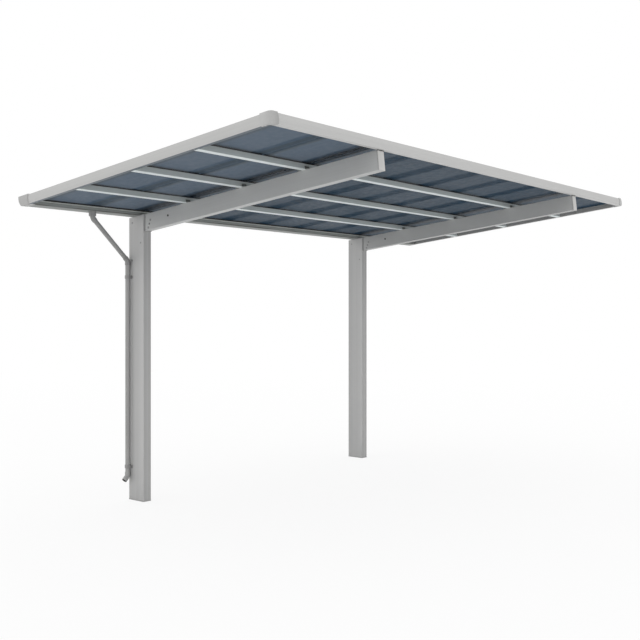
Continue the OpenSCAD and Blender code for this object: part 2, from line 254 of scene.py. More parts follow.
class Finish(NodeTree):
    """A material that is written as expressions on shader values."""

    def __init__(self, name, base):
        self.base = base
        self.material = bpy.data.materials.new(name)
        self.material.use_nodes = True
        self.tree = self.material.node_tree
        self.tree.nodes.clear()
        self.output = self.tree.nodes.new("ShaderNodeOutputMaterial")

    def add(self, kind, settings=None, inputs=None, output=0):
        """Adds any node and gives one of its outputs, or several."""
        node = self.node(kind, settings, inputs)
        if isinstance(output, tuple):
            return tuple(Value(self, node.outputs[index]) for index in output)
        return Value(self, node.outputs[output])

    def place(self, scale=(1, 1, 1)):
        """Object coordinates, scaled."""
        coordinates = self.add("ShaderNodeTexCoord", output="Object")
        return self.add("ShaderNodeMapping", {}, {"Vector": coordinates, "Scale": scale})

    def roof_place(self, scale=(1, 1, 1)):
        """Coordinates in the roof frame, scaled: up the slope, along the roof and square to it."""
        matrix = roof_matrix().inverted()
        inputs = {"Vector": self.place(), "Location": matrix.to_translation(), "Rotation": matrix.to_euler()}
        roof = self.add("ShaderNodeMapping", {}, inputs)
        return self.add("ShaderNodeMapping", {}, {"Vector": roof, "Scale": scale})

    def split(self, vector):
        """The three parts of a vector."""
        return self.add("ShaderNodeSeparateXYZ", {}, {0: vector}, output=(0, 1, 2))

    def roof_axes(self):
        """Distances up the slope, along the roof and square to it."""
        return self.split(self.roof_place())

    def noise(self, vector, scale, detail=3.0, roughness=0.55):
        """Fractal noise as a value."""
        inputs = {"Vector": vector, "Scale": scale, "Detail": detail, "Roughness": roughness}
        return self.add("ShaderNodeTexNoise", {}, inputs)

    def mix(self, factor, first, second):
        """Mixes two colours."""
        first = first if isinstance(first, Value) else (*first, 1.0)
        second = second if isinstance(second, Value) else (*second, 1.0)
        return self.add("ShaderNodeMix", {"data_type": "RGBA"}, {0: factor, 6: first, 7: second}, output=2)

    def mix_shades(self, factor, first, second):
        """Mixes two shades of the base colour."""
        return self.mix(factor, shade(self.base, first), shade(self.base, second))

    def coats(self, tone, *layers):
        """Lays coats on a tone in turn: each is a mask, and a colour or a factor of the base colour."""
        for mask, coat in layers:
            tone = self.mix(mask, tone, shade(self.base, coat) if isinstance(coat, float) else coat)
        return tone

    def bump(self, height, strength, distance):
        """A normal from a height."""
        return self.add("ShaderNodeBump", {}, {"Height": height, "Strength": strength, "Distance": distance})

    def surface(self, **inputs):
        """Ends the material in one Principled shader."""
        named = {key.replace("_", " ").title().replace("Ior", "IOR"): value for key, value in inputs.items()}
        return self.close(self.add("ShaderNodeBsdfPrincipled", {}, named))

    def skin(self, tone, grain, rough, relief=None, **inputs):
        """Ends a finish with a range of roughness along a grain, and a relief: height, strength and depth."""
        if relief:
            inputs["normal"] = self.bump(*relief)
        return self.surface(base_color=tone, roughness=grain.stretch(0.3, 0.7, *rough), **inputs)

    def close(self, shader):
        """Links a shader to the output."""
        self.tree.links.new(shader.socket, self.output.inputs["Surface"])
        return self.material


def shade(base, factor):
    """A colour made lighter or darker."""
    return tuple(min(1.0, part * factor) for part in base)


def off_centre(value, pitch, start):
    """Distance from the nearest of a row of centres."""
    return abs((value - (start - pitch / 2)) % pitch - pitch / 2)


def edge_wear(first, second, band=0.004):
    """A mask along the edges where two distances from the middle both reach their half size."""
    masks = [value.stretch(half - band, half) for value, half in (first, second)]
    return masks[0] * masks[1]


def metal_finish(name, base, grain, edges, place="roof_place"):
    """Matt anodised section: die lines along its length, faint patches, and its own edge marks of dust, wear,
    painted shade and painted highlights.
    """
    finish = Finish(name, base)
    spot = getattr(finish, place)
    lines = finish.noise(spot(grain), 1.0, 5.0, 0.7)
    broad = finish.noise(spot(tuple(part * 0.18 for part in grain)), 1.0, 3.0)
    patches = finish.noise(finish.place(), 1.7, 3.0)
    specks = finish.noise(finish.place(), 320.0, 2.0)
    tone = finish.coats(
        finish.mix_shades(lines.stretch(0.3, 0.7), 0.96, 1.04),
        (broad.stretch(0.35, 0.65, 0.0, 0.30), 0.90),
        (patches.stretch(0.45, 0.75, 0.0, 0.25), 0.91),
    )
    tone = edges(finish, tone)
    rough = lines.stretch(0.25, 0.75, 0.42, 0.56) + patches.stretch(0.3, 0.7, -0.03, 0.05)
    normal = finish.bump(lines * 0.75 + specks * 0.25, 0.1, 0.0006)
    return finish.surface(base_color=tone, roughness=rough, metallic=0.15, normal=normal)


def post_edges(finish, tone):
    """Posts with a painted reflection that makes the broad faces paler towards the bay, a painted highlight
    behind the pipe, splashes at the foot, painted roof shade on the bay side with a paler painted line down
    its middle, and worn edges.
    """
    x, y, z = finish.split(finish.place())
    beside = off_centre(y, POST_PITCH, 0.0)
    worn = edge_wear((abs(x), POST_HIGH.x), (beside, POST_HIGH.y))
    splash = finish.noise(finish.place((9.0, 9.0, 3.0)), 1.0, 5.0)
    foot = z.fall(0.0, 0.35) * splash.stretch(0.45, 0.7)
    bay = x.stretch(POST_HIGH.x - 0.0015, POST_HIGH.x - 0.0003)
    line = beside.fall(0.002, 0.009)
    broad = beside.stretch(POST_HIGH.y - 0.003, POST_HIGH.y - 0.001)
    pipe_x, fade = (PIPE_LOW.x + PIPE_HIGH.x) / 2, 0.080
    kept = abs(x - pipe_x).fall(0.012, 0.034) * y.fall(POST_LOW.y, 0.0)
    kept = kept * z.fall(PIPE_HIGH.z - fade, PIPE_HIGH.z)
    kept = kept * z.stretch(PIPE_LOW.z, PIPE_LOW.z + fade)
    return finish.coats(
        tone,
        # Painted reflection: the broad faces darker at -x and paler at +x
        (x.fall(-POST_HIGH.x, 0.0, 0.45) * broad, 0.80),
        (x.stretch(0.0, POST_HIGH.x, 0.0, 0.45) * broad, 1.18),
        # Painted highlight: a paler strip on the front post's front face behind the pipe, lightening the
        # pipe's shade
        (kept * broad, 1.45),
        (foot * 0.35, 0.72),
        # Painted shade of the roof: the bay side faces darker, most towards the top
        (bay * z.stretch(1.5, 2.25, 0.6, 1.0), 0.82),
        # Painted highlight: a paler line down the middle of each bay side face
        (bay * line * 0.5, 1.0),
        (worn * 0.6, 1.25),
    )


def arm_edges(finish, tone):
    """Brighter worn edges along the arms, and painted shade that makes the rear arm slightly darker."""
    _, v, w = finish.roof_axes()
    depth = sizes().arm_depth
    # Painted shade: the rear arm, deeper under the roof, made darker
    rear = v.stretch(-0.1, 0.1, 0.0, 0.6)
    worn = edge_wear((abs(abs(v) - POST_PITCH / 2), ARM_HALF), (abs(w + depth / 2), depth / 2))
    return finish.coats(tone, (rear, 0.83), (worn * 0.5, 1.25))


def purlin_edges(finish, tone):
    """Brighter worn edges, and a painted highlight on the purlins' soles."""
    u, _, w = finish.roof_axes()
    size = sizes()
    across = off_centre(u, size.purlin_pitch, size.purlin_start)
    high = abs(w - size.purlin_height / 2)
    worn = edge_wear((across, size.purlin_width / 2), (high, size.purlin_height / 2), 0.003)
    # Painted highlight: the purlins' soles made paler, as if lit from below
    sole = w.fall(0.0005, 0.0030)
    return finish.coats(tone, (sole * 0.85, 1.45), (worn * 0.5, 1.25))


def rim_edges(finish, tone):
    """Dust on a rim's shoulder, and a painted highlight along its foot."""
    _, _, w = finish.roof_axes()
    high = sizes().rim_height
    dust = w.stretch(high - 0.010, high)
    # Painted highlight: a paler line along the rim's foot
    foot = w.fall(0.001, 0.006)
    return finish.coats(tone, (dust * 0.3, 0.86), (foot * 0.4, 1.18))


def side_rim_edges(finish, tone):
    """A rim's dust and painted foot highlight, with painted shade on its inner face and on the sole under the
    front rim.
    """
    _, v, w = finish.roof_axes()
    # Painted shade: the side rims' inner faces made darker
    inside = abs(v).fall(inner_side() + 0.0005, inner_side() + 0.0030)
    # Painted shade: the sole under the front rim made dark
    sole = w.fall(0.0003, 0.0012) * v.fall(-0.1, 0.1)
    tone = rim_edges(finish, tone)
    return finish.coats(tone, (inside * 0.9, 0.60), (sole * 0.92, SOLE_SHADE))


def gutter_edges(finish, tone):
    """A painted highlight on the bead along the inner wall, a line of painted shade under it, painted shade
    on the sole, and mud inside.
    """
    u, _, w = finish.roof_axes()
    wall = -sizes().gutter_inner
    outside = u.stretch(wall - 0.002, wall + 0.001)
    # Painted highlight on the inner bead
    bead = w.stretch(0.0255, 0.0285) * outside
    # Painted shade: a dark line under the bead
    line = abs(w - 0.0235).fall(0.0015, 0.0040) * outside
    # Painted shade on the gutter's sole
    sole = w.fall(0.0004, 0.0010)
    marks = finish.noise(finish.place((14.0, 3.0, 14.0)), 1.0, 5.0)
    mud = w.fall(0.004, 0.012) * w.stretch(0.001, 0.0025) * marks.stretch(0.35, 0.65)
    return finish.coats(tone, (bead * 0.9, 1.95), (line * 0.45, 0.50), (sole * 0.6, 0.62), (mud, MUD))


def moulded_finish(name, base, roughness=0.5):
    """Moulded plastic with a fine spark-eroded grain and slightly worn high spots."""
    finish = Finish(name, base)
    grain = finish.noise(finish.place(), 900.0, 2.0)
    wear = finish.noise(finish.place(), 14.0, 4.0)
    tone = finish.mix_shades(wear.stretch(0.35, 0.7), 0.94, 1.05)
    return finish.skin(tone, grain, (roughness - 0.06, roughness + 0.08), (grain, 0.12, 0.0004))


def corner_finish(name, base, pale):
    """Moulded corner: its flank is as pale as the rim, its round is duller, and painted shade darkens its
    inner end face and the sole along its inner edge.
    """
    finish = Finish(name, base)
    size = sizes()
    u, v, w = finish.roof_axes()
    grain = finish.noise(finish.place(), 900.0, 2.0)
    wear = finish.noise(finish.place(), 14.0, 4.0)
    side, inner = ROOF_LENGTH / 2, inner_side()
    low, high = u.fall(0.2, 0.3), u.stretch(0.2, 0.3)
    flank = u.stretch(size.roof_run - 0.050, size.roof_run) * v.fall(0.0, 0.1, 0.35)
    front = v.stretch(-side, -side + 0.060) * v.fall(0.0, 0.1, 0.65)
    rear = v.stretch(side - 0.035, side)
    # Painted shade: the gutter corners' inner end faces made dark
    end = u.stretch(size.bead_end - 0.0020, size.bead_end - 0.0008) * low
    end = end * abs(v).fall(inner - 0.003, inner)
    # Painted shade: the sole along the front high corner's inner edge made dark
    sole = w.fall(0.0003, 0.0012) * high * u.fall(inner_high() - 0.004, inner_high())
    sole = sole * v.stretch(-inner - 0.014, -inner - 0.006) * v.fall(-inner, 0.0)
    tone = finish.coats(
        finish.mix(flank + front + rear, pale, shade(base, 0.92)),
        (low, 1.08),
        (wear.stretch(0.35, 0.7, 0.0, 0.25), 0.92),
        (end * 0.85, 0.42),
        (sole * 0.92, SOLE_SHADE),
    )
    return finish.skin(tone, grain, (0.46, 0.58), (grain, 0.12, 0.0004))


def pipe_finish(name, base, inside=None):
    """Drawn plastic pipe: faint draw lines, water marks that run down, a dull skin, and, where an inside mask
    is given, painted shade inside the mouth.
    """
    finish = Finish(name, base)
    draw = finish.noise(finish.place((140.0, 140.0, 3.0)), 1.0, 3.0)
    marks = finish.noise(finish.place((18.0, 18.0, 1.3)), 1.0, 4.0)
    layers = [(marks.stretch(0.42, 0.72, 0.0, 0.6), 0.80), (draw.stretch(0.3, 0.7, 0.0, 0.3), 1.12)]
    if inside:
        # Painted shade inside the spout's mouth
        layers.append((inside(finish), 0.05))
    tone = finish.coats(base, *layers)
    return finish.skin(tone, marks, (0.36, 0.52), (draw, 0.06, 0.0004))


def spout_inside(finish):
    """A mask for the inside of the spout, around its axis."""

    def vector(operation, *parts, output=0):
        inputs = dict(enumerate(parts))
        return finish.add("ShaderNodeVectorMath", {"operation": operation}, inputs, output)

    size = sizes()
    centre = (PIPE_LOW + PIPE_HIGH) / 2
    corner = Vector((centre.x, centre.y, size.spout_height))
    axis = Vector((0, -math.sin(size.spout_angle), -math.cos(size.spout_angle)))
    offset = vector("SUBTRACT", finish.place(), corner)
    distance = vector("LENGTH", vector("CROSS_PRODUCT", offset, axis), output="Value")
    reach = vector("DOT_PRODUCT", offset, axis, output="Value")
    return distance.fall(0.0184, 0.0190) * reach.stretch(0.008, 0.014)


def past_first_bay(v):
    """0 in the bay in front of the front arm and 1 beyond it."""
    return v.stretch(-POST_PITCH / 2 - 0.25, -POST_PITCH / 2 + 0.35)


def sheet_finish(name, base):
    """Tinted see-through sheet: cell walls, dust, and painted shade on its underside: under the joint strips,
    past the first bay, along the purlins, by the gutter and beside the arms.
    """
    finish = Finish(name, base)
    size = sizes()
    u, v, w = finish.roof_axes()
    under = w.fall(size.purlin_height + 0.001, size.purlin_height + 0.003)
    wall = off_centre(v, 0.011, 0.0).stretch(0.0040, 0.0055)
    cloud = finish.noise(finish.roof_place((0.7, 1.1, 0.5)), 1.2, 2.0)
    dust = finish.noise(finish.place(), 26.0, 5.0)
    across = off_centre(u, size.purlin_pitch, size.purlin_start)
    # Masks of painted shade on the underside: along the purlins, by the gutter, beside the arms and under the
    # joint strips
    purlin_shade = across.fall(size.purlin_width / 2, size.purlin_width / 2 + 0.055)
    gutter_gap_shade = u.fall(-size.gutter_inner, -size.gutter_inner + 0.040)
    arm_side_shade = abs(abs(v) - POST_PITCH / 2).fall(0.020, 0.110)
    covered = off_centre(v, size.sheet_pitch, 0.0).fall(0.062, 0.068)
    duller = (base[0] * 0.90, base[1] * 0.83, base[2] * 0.74)
    tone = finish.coats(
        base,
        # Painted shade: the underside duller where the joint strips cover it
        (covered * under, duller),
        # Painted shade: the underside darker past the first bay
        (past_first_bay(v) * under, colours().underside_shade),
        (cloud.stretch(0.35, 0.65, 0.0, 0.10), 0.50),
        (wall * 0.16, 0.50),
        # Painted shade along the purlins, by the gutter and beside the arms
        (purlin_shade * under * 0.92, 0.04),
        (gutter_gap_shade * under * 0.95, 0.04),
        (arm_side_shade * under * 0.80, 0.16),
        (dust.stretch(0.5, 0.8, 0.0, 0.02), DUST),
    )
    return finish.skin(tone, dust, (0.34, 0.46), (wall, 0.04, 0.0005), specular_ior_level=0.02, alpha=0.80)


def strip_finish(name, base):
    """Dark extruded plastic with faint lines up the slope, dust, and the sheets' tint at its stem, which
    takes the sheets' painted underside shade past the first bay.
    """
    finish = Finish(name, base)
    lines = finish.noise(finish.roof_place((0.6, 160.0, 60.0)), 1.0, 4.0)
    dust = finish.noise(finish.place(), 26.0, 5.0)
    _, v, w = finish.roof_axes()
    stem = w.fall(sizes().purlin_height + 0.002, sizes().purlin_height + 0.008)
    # Painted shade: past the first bay the stem takes the sheets' darker underside tint
    tint = finish.mix(past_first_bay(v), shade(colours().sheet, 0.70), shade(colours().underside_shade, 0.6))
    tone = finish.coats(
        finish.mix_shades(lines.stretch(0.3, 0.7), 0.88, 1.12),
        (stem, tint),
        (dust.stretch(0.5, 0.8, 0.0, 0.05), DUST),
    )
    return finish.skin(tone, lines, (0.40, 0.52), (lines, 0.05, 0.0004), specular_ior_level=0.04)


def rubber_finish(name, base):
    """Black rubber with a dry bloom."""
    finish = Finish(name, base)
    bloom = finish.noise(finish.place((30.0, 8.0, 30.0)), 1.0, 4.0)
    tone = finish.mix(bloom.stretch(0.4, 0.75, 0.0, 0.5), base, shade(base, 2.2))
    return finish.skin(tone, bloom, (0.62, 0.8))


def zinc_finish(name, base):
    """Plated steel with a faint spangle."""
    finish = Finish(name, base)
    spangle = finish.noise(finish.place(), 420.0, 3.0)
    tone = finish.mix_shades(spangle.stretch(0.3, 0.7), 0.82, 1.15)
    return finish.skin(tone, spangle, (0.28, 0.42), metallic=0.7)


FINISHES = {}


def make_finishes():
    """Makes every finish of the carport once."""
    tint = colours()
    along_slope, along_roof = (0.8, 120.0, 120.0), (120.0, 0.8, 120.0)
    FINISHES.update(
        post=metal_finish("post_matt_metal", tint.post, (90.0, 90.0, 0.6), post_edges, "place"),
        arm=metal_finish("arm_matt_metal", tint.arm, along_slope, arm_edges),
        purlin=metal_finish("purlin_matt_metal", tint.purlin, along_roof, purlin_edges),
        high_rim=metal_finish("high_rim_pale_metal", tint.rim, along_roof, rim_edges),
        rim=metal_finish("side_rim_pale_metal", tint.rim, along_slope, side_rim_edges),
        gutter=metal_finish("gutter_metal", tint.gutter, along_roof, gutter_edges),
        corner=corner_finish("corner_moulded_plastic", tint.corner, shade(tint.rim, 0.98)),
        cap=moulded_finish("arm_cap_moulded_plastic", tint.cap, 0.45),
        sheet=sheet_finish("tinted_multiwall_sheet", tint.sheet),
        strip=strip_finish("dark_joint_strip", tint.strip),
        downpipe=pipe_finish("drawn_grey_pipe", tint.pipe),
        fitting=pipe_finish("moulded_grey_fitting", shade(tint.pipe, 0.75)),
        spout=pipe_finish("spout_grey_pipe", tint.pipe, spout_inside),
        clip=moulded_finish("pipe_clip_plastic", shade(tint.pipe, 0.82), 0.48),
        seal=rubber_finish("black_seal_rubber", tint.rubber),
        zinc=zinc_finish("zinc_screw", tint.steel),
        bracket=moulded_finish("dark_bracket_paint", tint.bracket),
        trim=moulded_finish("post_foot_trim", shade(tint.post, 0.78)),
        hole=rubber_finish("open_hole_shadow", shade(tint.rubber, 0.6)),
    )


def finish_for(node):
    """The finish of a solid, by the end of its name; the rain pipe's other fittings share one."""
    kind = node.rstrip("_0123456789")
    return next((FINISHES[word] for word in FINISHES if kind.endswith(word)), FINISHES["fitting"])


class GeometryTree(NodeTree):
    """A Geometry Nodes tree with named inputs, which ends in plain geometry with a material."""

    def __init__(self, name, *numbers, **others):
        self.tree = bpy.data.node_groups.new(name, "GeometryNodeTree")
        face = self.tree.interface
        face.new_socket("Geometry", in_out="INPUT", socket_type="NodeSocketGeometry")
        kinds = {**dict.fromkeys(numbers, "NodeSocketFloat"), **others, "Material": "NodeSocketMaterial"}
        self.sockets = {}
        for label, kind in kinds.items():
            self.sockets[label] = face.new_socket(label, in_out="INPUT", socket_type=kind).identifier
        face.new_socket("Geometry", in_out="OUTPUT", socket_type="NodeSocketGeometry")
        self.entry = self.tree.nodes.new("NodeGroupInput")
        self.exit = self.tree.nodes.new("NodeGroupOutput")

    def given(self, label):
        """The output of a named input."""
        return self.entry.outputs[label]

    def add(self, kind, settings=None, inputs=None, output=0):
        """Adds any node and gives one of its outputs."""
        return self.node(kind, settings, inputs).outputs[output]

    def join(self, *parts):
        """Joins geometry."""
        return self.add("GeometryNodeJoinGeometry", {}, {0: list(parts)[::-1]})

    def times(self, value, factor):
        """A value times a number."""
        return self.add("ShaderNodeMath", {"operation": "MULTIPLY"}, {0: value, 1: factor})

    def column(self, sides, radius, depth):
        """A cylinder or prism."""
        inputs = {"Vertices": sides, "Radius": radius, "Depth": depth}
        return self.add("GeometryNodeMeshCylinder", {}, inputs)

    def direction(self, name):
        """A direction that is kept on every point."""
        return self.add("GeometryNodeInputNamedAttribute", {"data_type": "FLOAT_VECTOR"}, {"Name": name})

    def on_points(self, instance):
        """Puts an instance on every point, turned to the point's own directions."""
        align = "FunctionNodeAlignRotationToVector"
        stand = self.add(align, {"axis": "Z"}, {"Vector": self.direction("outward")})
        inputs = {"Rotation": stand, "Vector": self.direction("along")}
        turned = self.add(align, {"axis": "X", "pivot_axis": "Z"}, inputs)
        points = self.add("GeometryNodeMeshToPoints", {}, {"Mesh": self.given("Geometry")})
        inputs = {"Points": points, "Instance": instance, "Rotation": turned}
        return self.add("GeometryNodeInstanceOnPoints", {}, inputs)

    def end(self, geometry):
        """Realizes, sets the material and closes the tree."""
        real = self.add("GeometryNodeRealizeInstances", {}, {0: geometry})
        inputs = {"Geometry": real, "Material": self.given("Material")}
        done = self.add("GeometryNodeSetMaterial", {}, inputs)
        self.tree.links.new(done, self.exit.inputs[0])
        return self


def point_mesh(name, points):
    """Points with a place and two directions each: outward and along."""
    mesh = bpy.data.meshes.new(name)
    mesh.from_pydata([point[0] for point in points], [], [])
    for index, label in ((1, "outward"), (2, "along")):
        layer = mesh.attributes.new(label, "FLOAT_VECTOR", "POINT")
        for item, point in zip(layer.data, points):
            item.vector = point[index]
    return mesh


def path_mesh(name, paths, closed=False):
    """Paths as edges, open or closed."""
    mesh = bpy.data.meshes.new(name)
    places, edges = [], []
    for path in paths:
        start = len(places)
        places.extend(path)
        edges.extend((start + step, start + step + 1) for step in range(len(path) - 1))
        if closed:
            edges.append((len(places) - 1, start))
    mesh.from_pydata(places, edges, [])
    return mesh


def built_mesh(name, build):
    """A mesh from a finished build."""
    mesh = bpy.data.meshes.new(name)
    build.to_mesh(mesh)
    build.free()
    return mesh


def new_object(name, data):
    """An object in the scene."""
    made = bpy.data.objects.new(name, data)
    bpy.context.scene.collection.objects.link(made)
    return made


def keep_piece(piece):
    """Rides a finished piece on the carport's body."""
    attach(piece, BODY)
    return piece


def grow(name, mesh, tree, values, finish):
    """Runs a Geometry Nodes tree once and keeps its result as a plain mesh."""
    sharp_angle = 0.6
    piece = new_object(name, mesh)
    modifier = piece.modifiers.new("build", "NODES")
    modifier.node_group = tree.tree
    for label, value in {**values, "material": FINISHES[finish]}.items():
        modifier[tree.sockets[label.title()]] = value
    ready = piece.evaluated_get(bpy.context.evaluated_depsgraph_get())
    plain = bpy.data.meshes.new_from_object(ready)
    piece.modifiers.remove(modifier)
    piece.data = plain
    plain.name = name
    if not plain.polygons:
        raise RuntimeError(f"{name} came out empty")
    plain.shade_smooth()
    plain.set_sharp_from_angle(angle=sharp_angle)
    return keep_piece(piece)


def screw_tree():
    """Pan-head screw: a washer, a skirt, a crown and a six-sided drive, sized by its head."""
    tree = GeometryTree("pan_head_screw", "Head", "Height")
    head, height = tree.given("Head"), tree.given("Height")
    parts = []
    for sides, wide, tall in ((20, 0.66, 0.5), (20, 0.5, 1.4), (20, 0.40, 1.9), (6, 0.20, 2.2)):
        parts.append(tree.column(sides, tree.times(head, wide), tree.times(height, tall)))
    return tree.end(tree.on_points(tree.join(*parts)))


def plug_tree():
    """Round plug or open hole that sits flush with a face."""
    tree = GeometryTree("round_plug", "Width", "Height")
    rim = tree.column(24, tree.times(tree.given("Width"), 0.5), tree.given("Height"))
    return tree.end(tree.on_points(rim))


def piece_tree():
    """Copies a made piece to every point."""
    tree = GeometryTree("piece_on_points", Piece="NodeSocketObject")
    inputs = {"Object": tree.given("Piece")}
    made = tree.add("GeometryNodeObjectInfo", {"transform_space": "ORIGINAL"}, inputs, "Geometry")
    return tree.end(tree.on_points(made))


def section_tree():
    """Runs a rectangular section with rounded edges along every path."""
    tree = GeometryTree("section_along_path", "Width", "Height", "Edge")
    inputs = {"Width": tree.given("Width"), "Height": tree.given("Height")}
    outline = tree.add("GeometryNodeCurvePrimitiveQuadrilateral", {"mode": "RECTANGLE"}, inputs)
    inputs = {"Curve": outline, "Radius": tree.given("Edge"), "Count": 3}
    rounded = tree.add("GeometryNodeFilletCurve", {"mode": "POLY"}, inputs)
    path = tree.add("GeometryNodeMeshToCurve", {}, {"Mesh": tree.given("Geometry")})
    level = tree.add("GeometryNodeSetCurveNormal", {"mode": "Z_UP"}, {"Curve": path})
    inputs = {"Curve": level, "Profile Curve": rounded, "Fill Caps": True}
    return tree.end(tree.add("GeometryNodeCurveToMesh", {}, inputs))


def add_screws(name, points, finish, slot, **values):
    """Keeps one piece of pan-head screws on points, with their head and height."""
    grow(name, point_mesh(name, points), screw_tree(), values, finish)


def add_plugs(name, points, finish, slot, **values):
    """Keeps one piece of round plugs on points, with their width and height."""
    grow(name, point_mesh(name, points), plug_tree(), values, finish)


def add_sections(name, paths, finish, slot, closed=False, **values):
    """Keeps one piece of sections along paths, with their width, height and edge radius."""
    grow(name, path_mesh(name, paths, closed), section_tree(), values, finish)


def on_roof(places):
    """Points of the roof frame in the carport's frame."""
    matrix = roof_matrix()
    return [matrix @ Vector(place) for place in places]


def roof_line(x, first, last, z):
    """A line along the roof, from one distance from its middle to another."""
    return on_roof([(x, first, z), (x, last, z)])


def roof_point(place, outward, along=ALONG_X):
    """A point for an instance, given in the roof frame."""
    matrix = roof_matrix()
    turned = matrix.to_3x3()
    return matrix @ Vector(place), turned @ Vector(outward), turned @ Vector(along)


def purlin_rows():
    """Distances of the purlins up the slope."""
    return [sizes().purlin_start + row * sizes().purlin_pitch for row in range(3)]


def joint_rows():
    """Places of the sheet joints along the roof, from its middle."""
    return [index * sizes().sheet_pitch for index in range(-4, 5)]


def rounded_loop(low, high, radius, z):
    """A level loop with rounded corners around a box."""
    loop = []
    for index, (x, y) in enumerate(((1, 1), (-1, 1), (-1, -1), (1, -1))):
        centre_x = (high.x if x > 0 else low.x) - x * radius
        centre_y = (high.y if y > 0 else low.y) - y * radius
        for step in range(5):
            angle = math.radians(90 * index + 22.5 * step)
            loop.append((centre_x + radius * math.cos(angle), centre_y + radius * math.sin(angle), z))
    return loop


def add_loops(build, loops, closed):
    """Joins loops of points in turn, and closes them into a ring or fills both ends."""
    rings = [[build.verts.new(place) for place in loop] for loop in loops]
    pairs = list(zip(rings, rings[1:]))
    if closed:
        pairs.append((rings[-1], rings[0]))
    else:
        build.faces.new(rings[0][::-1])
        build.faces.new(rings[-1])
    for first, second in pairs:
        for index in range(len(first)):
            after = (index + 1) % len(first)
            build.faces.new((first[index], first[after], second[after], second[index]))


def add_ring(build, low, high, stops, place):
    """Adds a closed ring around a box: each stop is a distance along x and an inset from the box."""
    corner_radius = 0.003
    loops = []
    for x, inset in stops:
        gap = Vector((inset, inset, 0))
        loop = rounded_loop(low + gap, high - gap, corner_radius, 0)
        loops.append([place @ Vector((x, y, z)) for y, z, _ in loop])
    add_loops(build, loops, True)


def keep_rings(name, build, finish):
    """Keeps rings as one piece."""
    bmesh.ops.recalc_face_normals(build, faces=build.faces)
    mesh = built_mesh(name, build)
    mesh.materials.append(FINISHES[finish])
    return keep_piece(new_object(name, mesh))


class CARPORT_OT_finish_solids(bpy.types.Operator):
    """Give every solid of the carport its finish."""

    bl_idname = "carport.finish_solids"
    bl_label = "Finish the solids"

    def execute(self, context):
        make_finishes()
        for name, node in NODES.items():
            node.data.materials.clear()
            node.data.materials.append(finish_for(name))
        return {"FINISHED"}


class CARPORT_OT_arm_screws(bpy.types.Operator):
    """Fix each arm to its post with three screws a side, and leave one open hole."""

    bl_idname = "carport.arm_screws"
    bl_label = "Arm screws"

    def execute(self, context):
        screws, holes = [], []
        for arm in ARMS:
            for side in (-1, 1):
                y, outward = arm + side * ARM_HALF, (0, side, 0)
                screws.extend(roof_point((x, y, z), outward) for x, z in ARM_SCREWS)
                holes.append(roof_point((ARM_HOLE[0], y, ARM_HOLE[1]), outward))
        add_screws("arm_screws", screws, "zinc", "arm_metal", head=sizes().screw_head, height=0.003)
        add_plugs("arm_open_holes", holes, "hole", "arm_metal", width=0.018, height=0.0012)
        return {"FINISHED"}


class CARPORT_OT_post_screws(bpy.types.Operator):
    """Put one screw and one plug near the top of each post on both broad faces."""

    bl_idname = "carport.post_screws"
    bl_label = "Post screws"

    def execute(self, context):
        size = sizes()
        screws, plugs = [], []
        for low, high in POSTS:
            for y, side in ((low.y, -1), (high.y, 1)):
                screw = (-size.post_screw_x, y, high.z - size.post_screw_drop)
                plug = (size.plug_x, y, high.z - size.plug_drop)
                screws.append((screw, (0, side, 0), ALONG_X))
                plugs.append((plug, (0, side, 0), ALONG_X))
        add_screws("post_screws", screws, "zinc", "post_metal", head=0.012, height=0.0026)
        add_plugs("post_plugs", plugs, "clip", "clip_plastic", width=0.014, height=0.0030)
        return {"FINISHED"}


class CARPORT_OT_arm_gaskets(bpy.types.Operator):
    """Put a collar on each arm at its post and a gasket behind its cap, and bead the arm's end."""

    bl_idname = "carport.arm_gaskets"
    bl_label = "Arm gaskets"

    def execute(self, context):
        size = sizes()
        sink, depth, proud, collar, bead_z = 0.0012, 0.0035, -0.002, 0.014, -0.0025
        cap, root, beads = bmesh.new(), bmesh.new(), []
        groove = size.arm_end + size.cap_groove
        start, end = inner_high(), groove + size.cap_thickness
        post, face = POST_HIGH.x, POST_HIGH.x + collar
        foot = POST_HIGH.z - size.arm_depth / math.cos(size.roof_pitch)
        for arm in ARMS:
            near, far = arm - ARM_HALF, arm + ARM_HALF
            low, high = Vector((near, -size.arm_depth, 0)), Vector((far, 0, 0))
            stops = ((size.arm_end, sink), (groove, sink), (groove, depth), (size.arm_end, depth))
            add_ring(cap, low, high, stops, roof_matrix())
            middle = arm + POST_PITCH / 2
            low, high = Vector((middle - ARM_HALF, foot, 0)), Vector((middle + ARM_HALF, POST_HIGH.z, 0))
            stops = ((post, proud), (face, proud), (face, sink), (post, sink))
            add_ring(root, low, high, stops, Matrix.Identity(4))
            corners = ((start, near), (end, near), (end, far), (start, far))
            beads.append(on_roof([(x, y, bead_z) for x, y in corners]))
        keep_rings("arm_cap_gaskets", cap, "seal")
        keep_rings("arm_root_collars", root, "clip")
        # Black rubber beads around the arm ends, which also stand in for the shade of the gap under the high
        # rim
        add_sections("arm_end_beads", beads, "seal", "seal_rubber", width=0.0022, height=0.0050, edge=0.0008)
        return {"FINISHED"}


